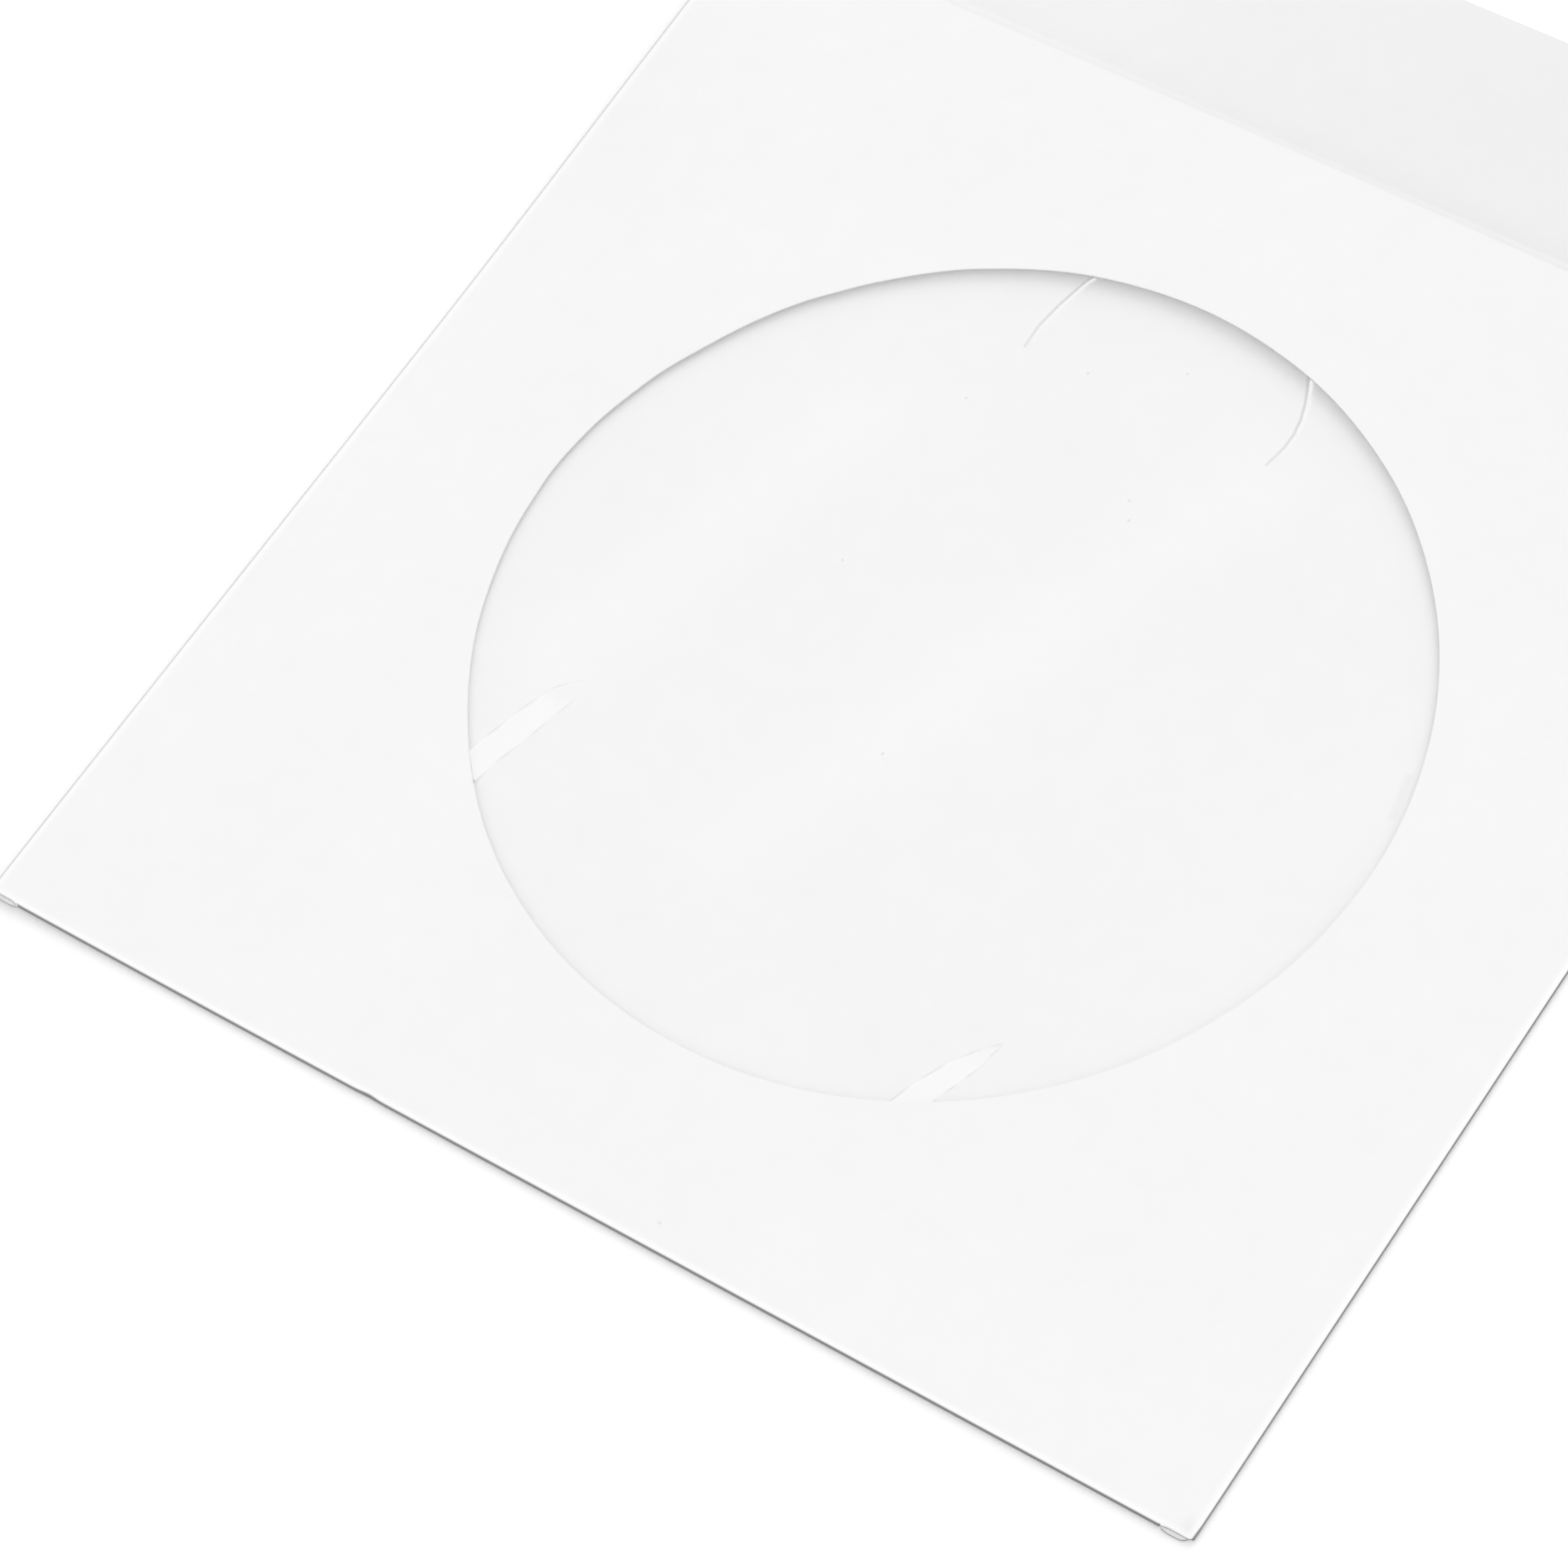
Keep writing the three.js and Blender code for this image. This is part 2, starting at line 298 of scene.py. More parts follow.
def front_panel(bm):
    """The front panel, ring by ring from the window's cut edge. Returns its border rows."""
    sides = front_outline()
    outline = [point for side in sides for point in side[:-1]]
    frame_points = inner_frame(sides)
    made = bmesh.ops.create_circle(bm, cap_ends=False, segments=len(outline), radius=1.0)
    row = sorted(made["verts"], key=lambda v: math.atan2(v.co.y, v.co.x) % (2 * math.pi))
    rim = []
    for x, y in frame_points:
        angle = math.atan2(y - WINDOW_Y, x - WINDOW_X)
        out = WINDOW_RADIUS + rim_wander(angle)
        rim.append((WINDOW_X + out * math.cos(angle), WINDOW_Y + out * math.sin(angle)))
    for vert, (x, y) in zip(row, rim):
        vert.co = place(x, y, front_z(x, y))
    inner = [(rim, frame_points, (ring / INNER_RINGS) ** INNER_POWER)
             for ring in range(1, INNER_RINGS + 1)]
    outer = [(frame_points, outline, 1 - (1 - ring / OUTER_RINGS) ** OUTER_POWER)
             for ring in range(1, OUTER_RINGS + 1)]
    for starts, ends, share in inner + outer:
        points = []
        for (from_x, from_y), (to_x, to_y) in zip(starts, ends):
            x, y = blend(from_x, to_x, share), blend(from_y, to_y, share)
            points.append(place(x, y, front_z(x, y)))
        row = next_row(bm, row, points, closed=True)
    borders, start = [], 0
    for side in sides:
        end = start + len(side) - 1
        borders.append([row[i % len(row)] for i in range(start, end + 1)])
        start = end
    return borders


# Over which part of a fold's turn the painted shade sets in
FOLD_SHADE_START, FOLD_SHADE_SPAN = math.radians(10), math.radians(30)


def fold_painted_shade(turn):
    """How much painted shade greys a fold: along its outer line and the side below that"""
    return eased((turn - FOLD_SHADE_START) / FOLD_SHADE_SPAN)


def side_fold(bm, row, mirrored):
    """Takes a side border of the front panel round its fold and on to the side flap.
    The row runs upwards. Returns nothing, because the side flap's edges are free."""
    for step in range(1, SIDE_FOLD_STEPS + 1):
        turn = math.pi * step / SIDE_FOLD_STEPS
        inward = SIDE_FOLD_OUTER - SIDE_FOLD_RADIUS * math.sin(turn)
        low = front_low(max(inward, 0.0))
        z = SIDE_FLAP_LEVEL + SIDE_FOLD_RADIUS * (1 + math.cos(turn))
        x = WIDTH - inward if mirrored else inward
        heights = [blend(low, FRONT_HEIGHT, share) for share in SIDE_SHARES]
        points = [place(x, y, z + curl(x, y)) for y in heights]
        # The fold's turn sets how much painted shade the paper takes
        row = next_row(bm, row, points, painted_shade=fold_painted_shade(turn))
    for share_in in stations(0, 1, 1 / 9)[1:]:
        inward = blend(SIDE_FOLD_OUTER, SIDE_FLAP, share_in)
        x = WIDTH - inward if mirrored else inward
        low = front_low(SIDE_FOLD_OUTER) + SIDE_FLAP_TAPER * share_in
        high = FRONT_HEIGHT - SIDE_FLAP_TAPER * share_in
        heights = [blend(low, high, share) for share in SIDE_SHARES]
        row = next_row(bm, row, [place(x, y, SIDE_FLAP_LEVEL + curl(x, y)) for y in heights])


def bottom_fold(bm, row, columns):
    """Takes the front panel's lower border round the bottom fold to the back panel"""
    for step in range(1, BOTTOM_FOLD_STEPS + 1):
        turn = math.pi * step / BOTTOM_FOLD_STEPS
        y = SPINE_OUTER - SPINE_RADIUS * math.sin(turn)
        z = BACK_LEVEL + SPINE_RADIUS * (1 + math.cos(turn))
        share = 1 - step / BOTTOM_FOLD_STEPS
        points = [place(x, y + fold_kink(x, 0) * share, z + curl(x, y)) for x in columns]
        # The fold's turn sets how much painted shade the paper takes
        row = next_row(bm, row, points, painted_shade=fold_painted_shade(turn))


def flap_side(past):
    """How far in the closing flap's side lies, past the crease: tapered, with round ends"""
    inset = BACK_INSET + FLAP_TAPER * past / FLAP_LENGTH
    to_end = FLAP_LENGTH - past
    if to_end < FLAP_CORNER:
        share = (FLAP_CORNER - to_end) / FLAP_CORNER
        inset += FLAP_CORNER * (1 - math.sqrt(max(1 - share**2, 0.0)))
    return inset


def back_point(x, row):
    """A point of the back panel and, past the crease, of the flap that rises from it"""
    past = max(row - BACK_HEIGHT, 0.0)
    if past > 0:
        inset = flap_side(past)
        x = blend(inset, WIDTH - inset, (x - BACK_INSET) / (WIDTH - 2 * BACK_INSET))
    rise = blend(FLAP_RISE_LEFT, FLAP_RISE_RIGHT, x / WIDTH)
    turn = min(past / CREASE_RADIUS, rise)
    straight = past - turn * CREASE_RADIUS
    panel_y = min(row, BACK_HEIGHT)
    y = panel_y + CREASE_RADIUS * math.sin(turn) + straight * math.cos(rise)
    z = CREASE_RADIUS * (1 - math.cos(turn)) + straight * math.sin(rise)
    sway = FLAP_SWAY * eased(past / SWAY_FREE) * (math.sin(x / 8.5 + 0.6) - 1)
    return place(x, y, BACK_LEVEL + z + sway + curl(x, panel_y))


def back_panel(bm):
    """The back panel and the closing flap, as one sheet from the bottom fold's tangent"""
    columns = CORNER_COLUMNS + PANEL_COLUMNS + MIRRORED_CORNER
    rows = [0.0, 0.05, 0.12, 0.25, 0.5, 0.9] + stations(1.5, BACK_HEIGHT, 1.6)
    rows += stations(BACK_HEIGHT, BACK_HEIGHT + 0.4, 0.1)[1:]
    rows += stations(BACK_HEIGHT + 0.4, BACK_HEIGHT + FLAP_LENGTH - FLAP_CORNER, 1.2)[1:]
    for share in stations(0, 1, 1 / 12)[1:]:
        rows.append(BACK_HEIGHT + FLAP_LENGTH - FLAP_CORNER * (1 - math.sin(share * math.pi / 2)))
    x_segments, y_segments = len(columns) - 1, len(rows) - 1
    made = bmesh.ops.create_grid(bm, x_segments=x_segments, y_segments=y_segments, size=0.5)
    for vert in made["verts"]:
        x = columns[round((vert.co.x + 0.5) * x_segments)]
        row = rows[round((vert.co.y + 0.5) * y_segments)]
        if row < BACK_HEIGHT:
            row = blend(back_low(x), BACK_HEIGHT, row / BACK_HEIGHT)
        vert.co = back_point(x, row)


def from_edge(x, y):
    """How far a place on the front lies inside the nearest fold"""
    return min(x, WIDTH - x, y)


# Painted shade on the closing flap at its left and right side, and what the crease adds to it
# there
FLAP_GREY = (0.02, 0.045)
CREASE_GREY, CREASE_GREY_WIDTH = (0.01, 0.04), 1.6

# The line of burnish inside the folds, brightened by a painted highlight: where it starts, and
# how it fades. The crease has less.
BURNISH_AND_HIGHLIGHT_START, BURNISH_AND_HIGHLIGHT_WIDTH = 0.42, 0.2
CREASE_BURNISH_AND_HIGHLIGHT, CREASE_BURNISH_AND_HIGHLIGHT_WIDTH = 0.3, 0.35

# Painted shade: the grey line along the left fold, the line along the corners' cuts,
# and the grey of the right corner's pressed dent: how strong each is, and how it fades
LEFT_GREY, LEFT_GREY_START, LEFT_GREY_WIDTH = 0.38, 0.1, 0.1
CUT_GREY, CUT_GREY_WIDTH = 0.8, 0.06
DENT_SHADE_GREY, DENT_SHADE_WIDTH, DENT_SHADE_PLACE = 0.08, 0.6, (124.0, 1.1)

# How far above the back panel a point still counts as part of it, how far past the mouth's
# edge only the flap lies, and how far below that edge the back panel is already shaded
BACK_MARGIN = 0.05
MOUTH_MARGIN = 0.2
SHADE_BELOW_MOUTH = 2


def flap_shade(x, y):
    """Painted shade on the closing flap's inner side, deepest along the crease by the mouth"""
    along_crease = hump(max(y - BACK_HEIGHT, 0.0), CREASE_GREY_WIDTH)
    across = x / WIDTH
    return blend(*FLAP_GREY, across) + blend(*CREASE_GREY, across) * along_crease


def mark_folds(bm):
    """Writes the burnish and painted highlight along each folded edge, and the painted shade:
    along the folds' ends and the corners' cuts, and on the closing flap"""
    fold = bm.verts.layers.float["fold"]
    painted_shade = bm.verts.layers.float["painted_shade"]
    for vert in bm.verts:
        x = vert.co.x * 1000 + ORIGIN_X
        y = vert.co.y * 1000 + ORIGIN_Y
        inside = from_edge(x, y)
        # Burnish and painted highlight along the folds
        near = hump(max(inside - BURNISH_AND_HIGHLIGHT_START, 0.0), BURNISH_AND_HIGHLIGHT_WIDTH)
        grey = vert[painted_shade]
        is_back = vert.co.z * 1000 < BACK_LEVEL + curl(x, y) + BACK_MARGIN
        if y > FRONT_HEIGHT + MOUTH_MARGIN:
            # Burnish and painted highlight along the crease
            near = CREASE_BURNISH_AND_HIGHLIGHT * hump(y - BACK_HEIGHT, CREASE_BURNISH_AND_HIGHLIGHT_WIDTH)
            is_back = True
        else:
            # Painted shade: a grey line along the left fold
            from_left = max(x - LEFT_GREY_START, 0.0)
            grey = max(grey, LEFT_GREY * hump(from_left, LEFT_GREY_WIDTH))
        # Painted shade on the closing flap and along its crease
        if is_back and y > FRONT_HEIGHT - SHADE_BELOW_MOUTH:
            grey = max(grey, flap_shade(x, y))
        if min(x, WIDTH - x) < CORNER:
            # Painted shade along the corners' cuts, and in the right corner's pressed dent
            from_cut = y - (back_low(x) if is_back else front_low(x))
            grey = max(grey, CUT_GREY * hump(max(from_cut, 0.0), CUT_GREY_WIDTH))
            away = math.hypot(x - DENT_SHADE_PLACE[0], y - DENT_SHADE_PLACE[1])
            grey = max(grey, DENT_SHADE_GREY * hump(away, DENT_SHADE_WIDTH))
        vert[fold], vert[painted_shade] = near, grey


def finish_mesh(bm, name):
    """Turns the sheet's faces the right way and hands it over as an object"""
    bmesh.ops.recalc_face_normals(bm, faces=bm.faces)
    highest = max(bm.faces, key=lambda face: face.calc_center_median().z)
    if highest.normal.z < 0:
        bmesh.ops.reverse_faces(bm, faces=bm.faces)
    for face in bm.faces:
        face.smooth = True
    for edge in bm.edges:
        edge.smooth = not edge.is_boundary
    mesh = bpy.data.meshes.new(name)
    bm.to_mesh(mesh)
    bm.free()
    obj = bpy.data.objects.new(name, mesh)
    bpy.context.scene.collection.objects.link(obj)
    return obj


def give_thickness(obj, millimetres):
    """Makes a sheet as thick as it is, evenly to both sides of its middle surface"""
    solid = obj.modifiers.new("thickness", "SOLIDIFY")
    solid.thickness = millimetres / 1000
    solid.offset = 0
    solid.use_rim = True
    return solid


# Points closer together than this, in metres, are one
MERGE_DISTANCE = 2e-6


def make_paper():
    """The folded blank: front panel, side flaps, bottom fold, back panel, closing flap"""
    bm = bmesh.new()
    bm.verts.layers.float.new("fold")
    bm.verts.layers.float.new("painted_shade")
    bottom, right, mouth, left = front_panel(bm)
    side_fold(bm, right, True)
    side_fold(bm, list(reversed(left)), False)
    first = 1 + len(CORNER_COLUMNS)
    bottom_fold(bm, bottom[first:first + len(PANEL_COLUMNS)], PANEL_COLUMNS)
    back_panel(bm)
    bmesh.ops.remove_doubles(bm, verts=bm.verts, dist=MERGE_DISTANCE)
    mark_folds(bm)
    paper = finish_mesh(bm, "folded_paper")
    solid = give_thickness(paper, PAPER)
    solid.material_offset_rim = 1
    return paper


# ---------------------------------------------------------------- the window film

# Each hair crease of the film as a line in millimetres, and how wide and deep they are
HAIR_CREASES = [
    [(51.6, 104.0), (50.8, 101.7), (50.1, 98.6), (49.7, 95.8), (49.8, 93.2)],
    [
        (74.0, 103.2), (74.9, 101.3), (75.6, 99.7), (76.1, 98.1), (76.35, 96.5),
        (76.35, 95.0), (76.15, 93.7), (75.9, 92.5),
    ],
]
HAIR_WIDTH, HAIR_DEPTH = 0.16, 0.07

# Each pleat of the film: its two creases, from the window's edge to where they die out
PLEATS = [
    (
        [(29.3, 33.0), (30.2, 35.9), (31.2, 39.2), (32.4, 42.2), (34.2, 44.0)],
        [(31.7, 30.1), (32.3, 33.4), (33.3, 36.6), (34.0, 39.5), (34.9, 42.4)],
    ),
    (
        [(81.1, 20.8), (82.3, 24.3), (83.8, 27.5), (85.6, 30.0), (86.9, 31.3)],
        [(84.2, 21.9), (84.9, 24.4), (85.6, 26.1), (86.3, 28.2), (86.9, 31.0)],
    ),
]
PLEAT_DEPTHS = [0.12, 0.15]

# How far a pleat's slopes run in from its far and near crease, and over which last share
# of its length it dies out
PLEAT_FAR_SLOPE, PLEAT_NEAR_SLOPE = 1.6, 0.3
PLEAT_END = 0.4

# A faint wrinkle on the film, drawn only as painted shade: its two ends
FAINT_WRINKLE = [(103.5, 70.6), (104.4, 66.6)]

# Soft bands of painted sheen on the film: the two ends of each
FILM_BANDS = [[(54.6, 35.2), (76.3, 89.8)], [(30.5, 45.7), (40.4, 78.6)]]

# How high the film ripples, and how far inside the window's edge it does so fully
RIPPLE, RIPPLE_FREE = 0.05, 14

# How strongly each of these greys the film with painted shade or brightens it with painted sheen,
# and how it fades sideways
FAINT_WRINKLE_SHADE, FAINT_WRINKLE_WIDTH = 0.05, 0.5
BAND_PAINTED_SHEEN, BAND_WIDTH = 0.16, 4.5
HAIR_GREY, HAIR_GREY_WIDTH = 0.36, 0.12
HAIR_PAINTED_SHEEN, HAIR_PAINTED_SHEEN_WIDTH, HAIR_PAINTED_SHEEN_BESIDE = 0.8, 0.16, 0.3
PLEAT_GREY, PLEAT_GREY_WIDTH = 0.16, 0.1
PLEAT_PAINTED_SHEEN, PLEAT_PAINTED_SHEEN_EDGE = 0.55, 0.12

# The film's cells on a side, and how near to a crease they are halved, time after time
FILM_CELLS = 66
FILM_REFINED = (3.0, 1.6, 0.9, 0.5)


def to_line(x, y, line):
    """Distance to a line of points, and the share of its length at the nearest place"""
    best, share_at = math.inf, 0.0
    count = len(line) - 1
    for i, ((ax, ay), (bx, by)) in enumerate(zip(line, line[1:])):
        dx, dy = bx - ax, by - ay
        share = min(max(((x - ax) * dx + (y - ay) * dy) / (dx * dx + dy * dy), 0.0), 1.0)
        distance = math.hypot(x - ax - share * dx, y - ay - share * dy)
        if distance < best:
            best, share_at = distance, (i + share) / count
    return best, share_at


def beside(x, y, line):
    """How far a place lies to the right of a line of points, seen along the line"""
    distance, share = to_line(x, y, line)
    i = min(int(share * (len(line) - 1)), len(line) - 2)
    (ax, ay), (bx, by) = line[i], line[i + 1]
    right = (x - ax) * (by - ay) - (y - ay) * (bx - ax)
    return math.copysign(distance, right), share


def in_pleat(x, y, pleat):
    """How far inside each of a pleat's creases a place lies, and how far along it"""
    far, near = pleat
    (from_far, along), (to_near, other) = beside(x, y, far), beside(x, y, near)
    return from_far, -to_near, max(along, other)


def pleat_depth(x, y, pleat, depth):
    """How far a pleat dips below the film, steeply at its near crease, gently to the other"""
    from_far, from_near, along = in_pleat(x, y, pleat)
    if from_far <= 0 or from_near <= 0 or along >= 1:
        return 0.0
    profile = min(from_far / PLEAT_FAR_SLOPE, from_near / PLEAT_NEAR_SLOPE, 1.0)
    return depth * profile * eased((1 - along) / PLEAT_END)


def film_z(x, y):
    """The height of the film: it follows the front panel, with ripples, pleats and creases"""
    from_rim = WINDOW_RADIUS - math.hypot(x - WINDOW_X, y - WINDOW_Y)
    inside = eased(from_rim / RIPPLE_FREE)
    ripple_at = 0.94 * (x - WINDOW_X) - 0.34 * (y - WINDOW_Y)
    ripple = RIPPLE * (math.sin(ripple_at / 5.2 + 0.8) - 1) * inside
    z = FILM_LEVEL + bulge(x, y) + curl(x, y) + waver(x, y) + ripple
    for pleat, depth in zip(PLEATS, PLEAT_DEPTHS):
        z -= pleat_depth(x, y, pleat, depth)
    for line in HAIR_CREASES:
        distance, share = to_line(x, y, line)
        z -= HAIR_DEPTH * hump(distance, HAIR_WIDTH) * eased((1 - share) / 0.5)
    return z


def near_fold_of_film(x, y):
    """How far a place on the film lies from the nearest pleat, crease or faint wrinkle"""
    nearest = min(to_line(x, y, line)[0] for line in HAIR_CREASES)
    for far, near in PLEATS:
        nearest = min(nearest, to_line(x, y, far)[0], to_line(x, y, near)[0])
    return min(nearest, to_line(x, y, FAINT_WRINKLE)[0])


def crease_marks(x, y):
    """How much painted shade greys the film at a place, and how much painted sheen brightens it
    there
    """
    # Painted shade on the faint wrinkle
    crease = FAINT_WRINKLE_SHADE * hump(to_line(x, y, FAINT_WRINKLE)[0], FAINT_WRINKLE_WIDTH)
    # Painted sheen along the soft bands
    gloss_and_painted_sheen = max(BAND_PAINTED_SHEEN * hump(to_line(x, y, band)[0], BAND_WIDTH) for band in FILM_BANDS)
    for line in HAIR_CREASES:
        side, share = beside(x, y, line)
        # Painted shade along each hair crease
        crease = max(crease, HAIR_GREY * hump(side, HAIR_GREY_WIDTH) * (1 - 0.5 * share))
        # A painted highlight beside each hair crease
        lit = hump(side + HAIR_PAINTED_SHEEN_BESIDE, HAIR_PAINTED_SHEEN_WIDTH)
        gloss_and_painted_sheen = max(gloss_and_painted_sheen, HAIR_PAINTED_SHEEN * lit * (1 - share))
    for pleat in PLEATS:
        from_far, from_near, along = in_pleat(x, y, pleat)
        # Painted sheen inside each pleat
        if from_far > 0 and from_near > 0:
            inside = eased(from_far / PLEAT_PAINTED_SHEEN_EDGE) * eased(from_near / PLEAT_PAINTED_SHEEN_EDGE)
            gloss_and_painted_sheen = max(gloss_and_painted_sheen, PLEAT_PAINTED_SHEEN * inside * eased((1 - along) / PLEAT_END))
        for line in pleat:
            distance, share = to_line(x, y, line)
            waning = 0.6 + 0.4 * math.sin(23 * share + 2 * line[0][0])
            # Painted shade along each pleat's creases
            grey = PLEAT_GREY * hump(distance, PLEAT_GREY_WIDTH)
            crease = max(crease, grey * waning * (1 - 0.4 * share))
    return crease, gloss_and_painted_sheen


def make_film():
    """The clear film patch glued behind the window"""
    left, low = WINDOW_X - FILM_SIZE / 2, WINDOW_Y - FILM_SIZE / 2
    bm = bmesh.new()
    bmesh.ops.create_grid(
        bm, x_segments=FILM_CELLS, y_segments=FILM_CELLS, size=FILM_SIZE / 2)
    bmesh.ops.translate(bm, verts=bm.verts, vec=(WINDOW_X, WINDOW_Y, 0))
    for reach in FILM_REFINED:
        near = {v for v in bm.verts if near_fold_of_film(v.co.x, v.co.y) < reach}
        edges = [e for e in bm.edges if e.verts[0] in near or e.verts[1] in near]
        bmesh.ops.subdivide_edges(bm, edges=edges, cuts=1, use_grid_fill=True)
    # Painted shade and painted sheen, written on the film's points
    creased = bm.verts.layers.float.new("crease")
    painted_sheen_layer = bm.verts.layers.float.new("gloss_and_painted_sheen")
    for vert in bm.verts:
        x, y = vert.co.x, vert.co.y
        vert[creased], vert[painted_sheen_layer] = crease_marks(x, y)
        over_x = max(left + FILM_CORNER - x, x - (left + FILM_SIZE - FILM_CORNER), 0.0)
        over_y = max(low + FILM_CORNER - y, y - (low + FILM_SIZE - FILM_CORNER), 0.0)
        over = math.hypot(over_x, over_y)
        if over > FILM_CORNER:
            pull = 1 - FILM_CORNER / over
            x += math.copysign(over_x * pull, WINDOW_X - x)
            y += math.copysign(over_y * pull, WINDOW_Y - y)
        vert.co = place(x, y, film_z(x, y))
    film = finish_mesh(bm, "clear_film")
    give_thickness(film, FILM)
    return film


# ---------------------------------------------------------------- materials


def linear(hex_colour):
    """An sRGB hex colour as the linear colour that a shader takes"""
    channels = [int(hex_colour[i:i + 2], 16) / 255 for i in (1, 3, 5)]
    toned = [c / 12.92 if c <= 0.04045 else ((c + 0.055) / 1.055) ** 2.4 for c in channels]
    return (*toned, 1.0)


def add_node(tree, kind, inputs, **settings):
    """Adds a shader node with its settings, and sets or links its inputs"""
    node = tree.nodes.new("ShaderNode" + kind)
    for name, value in settings.items():
        setattr(node, name, value)
    for name, value in inputs.items():
        if isinstance(value, bpy.types.NodeSocket):
            tree.links.new(value, node.inputs[name])
        else:
            node.inputs[name].default_value = value
    return node


def new_material(name):
    """An empty node material and its output node"""
    material = bpy.data.materials.new(name)
    material.use_nodes = True
    tree = material.node_tree
    tree.nodes.clear()
    return material, tree, tree.nodes.new("ShaderNodeOutputMaterial")


# One dark fibre in the paper, in millimetres
PAPER_FLECK = (70.8, 2.5)

# The grey that painted shade takes the paper towards
PAINTED_SHADE_GREY = "#868686"

# The share of the light that passes each face of the paper to what lies under it. It is
# set by the look of the shadows, and isn't a measured property of such paper.
LIGHT_THROUGH = 0.58


def let_light_through(tree, surface):
    """The same surface to the eye, but thin to the light that falls on it"""
    path = add_node(tree, "LightPath", {})
    light = add_node(tree, "Math", {
        0: path.outputs["Is Shadow Ray"], 1: path.outputs["Is Diffuse Ray"]},
        operation="MAXIMUM")
    share = add_node(tree, "Math", {0: light.outputs["Value"], 1: LIGHT_THROUGH},
                     operation="MULTIPLY")
    clear = add_node(tree, "BsdfTransparent", {"Color": linear("#FFFFFF")})
    return add_node(tree, "MixShader", {
        "Fac": share.outputs["Value"], 1: surface.outputs["BSDF"], 2: clear.outputs["BSDF"]})


def paper_material():
    """White uncoated woodfree paper: matt, faintly cloudy where its fibres lie thicker,
    with a fine felt of fibres on its surface. Folds are smoothed by burnishing and carry a
    painted highlight. Painted shade greys the paper where it is written."""
    material, tree, output = new_material("uncoated_white_paper")
    place_on = add_node(tree, "TexCoord", {}).outputs["Object"]
    cloud = add_node(tree, "TexNoise", {
        "Vector": place_on, "Scale": 330.0, "Detail": 3.0, "Roughness": 0.6})
    drift = add_node(tree, "TexNoise", {
        "Vector": place_on, "Scale": 38.0, "Detail": 2.0, "Roughness": 0.5})
    mixed = add_node(tree, "Math", {0: cloud.outputs["Fac"], 1: drift.outputs["Fac"]},
                     operation="ADD")
    tone = add_node(tree, "MapRange", {
        "Value": mixed.outputs["Value"], "From Min": 0.7, "From Max": 1.3,
        "To Min": 0.0, "To Max": 1.0})
    sheet = add_node(tree, "Mix", {
        "Factor": tone.outputs["Result"], 6: linear("#F6F6F6"), 7: linear("#F8F8F8")},
        data_type="RGBA")
    fold = add_node(tree, "Attribute", {}, attribute_name="fold").outputs["Fac"]
    # A painted highlight brightens the folds
    burnished_and_highlit = add_node(tree, "Mix", {
        "Factor": fold, 6: sheet.outputs[2], 7: linear("#FEFEFE")}, data_type="RGBA")
    # Painted shade: the grey along the folds, the left fold, the corners' cuts, the corner's dent
    # and the closing flap
    painted_shade = add_node(tree, "Attribute", {}, attribute_name="painted_shade").outputs["Fac"]
    colour = add_node(tree, "Mix", {
        "Factor": painted_shade, 6: burnished_and_highlit.outputs[2], 7: linear(PAINTED_SHADE_GREY)},
        data_type="RGBA")
    level = add_node(tree, "VectorMath", {0: place_on, 1: (1, 1, 0)}, operation="MULTIPLY")
    away = add_node(tree, "VectorMath", {
        0: level.outputs["Vector"], 1: place(*PAPER_FLECK, 0)}, operation="DISTANCE")
    dot = add_node(tree, "MapRange", {
        "Value": away.outputs["Value"], "From Min": 0.0001, "From Max": 0.00025,
        "To Min": 0.12, "To Max": 0.0})
    flecked = add_node(tree, "Mix", {
        "Factor": dot.outputs["Result"], 6: colour.outputs[2], 7: linear("#606060")},
        data_type="RGBA")
    rough = add_node(tree, "MapRange", {
        "Value": fold, "From Min": 0.0, "From Max": 1.0, "To Min": 0.86, "To Max": 0.6})
    felt = add_node(tree, "TexNoise", {
        "Vector": place_on, "Scale": 2600.0, "Detail": 3.0, "Roughness": 0.65})
    relief = add_node(tree, "Bump", {
        "Strength": 0.25, "Distance": 0.00002, "Height": felt.outputs["Fac"]})
    surface = add_node(tree, "BsdfPrincipled", {
        "Base Color": flecked.outputs[2], "Roughness": rough.outputs["Result"],
        "IOR": 1.5, "Normal": relief.outputs["Normal"]})
    thin = let_light_through(tree, surface)
    tree.links.new(thin.outputs["Shader"], output.inputs["Surface"])
    return material


def cut_edge_material():
    """The die-cut edge of the same paper: a fuzzy line of bare fibre ends"""
    material, tree, output = new_material("die_cut_paper_edge")
    place_on = add_node(tree, "TexCoord", {}).outputs["Object"]
    fuzz = add_node(tree, "TexNoise", {"Vector": place_on, "Scale": 4000.0, "Detail": 2.0})
    colour = add_node(tree, "Mix", {
        "Factor": fuzz.outputs["Fac"], 6: linear("#F0F0F0"), 7: linear("#F9F9F9")},
        data_type="RGBA")
    # Painted shade greys the cut edges where it is written, most at the corners' cuts
    painted_shade = add_node(tree, "Attribute", {}, attribute_name="painted_shade").outputs["Fac"]
    greyed = add_node(tree, "Mix", {
        "Factor": painted_shade, 6: colour.outputs[2], 7: linear(PAINTED_SHADE_GREY)},
        data_type="RGBA")
    surface = add_node(tree, "BsdfPrincipled", {
        "Base Color": greyed.outputs[2], "Roughness": 0.95, "IOR": 1.5})
    tree.links.new(surface.outputs["BSDF"], output.inputs["Surface"])
    return material


# Small flaws cast into the film, in millimetres
FILM_SPECKS = [
    (47.8, 65.8), (62.1, 50.5), (68.2, 81.6), (67.1, 83.4), (48.1, 85.9), (64.5, 97.6),
    (56.5, 93.4),
]

# How much each face of the film hazes what lies behind it
FILM_HAZE = 0.013


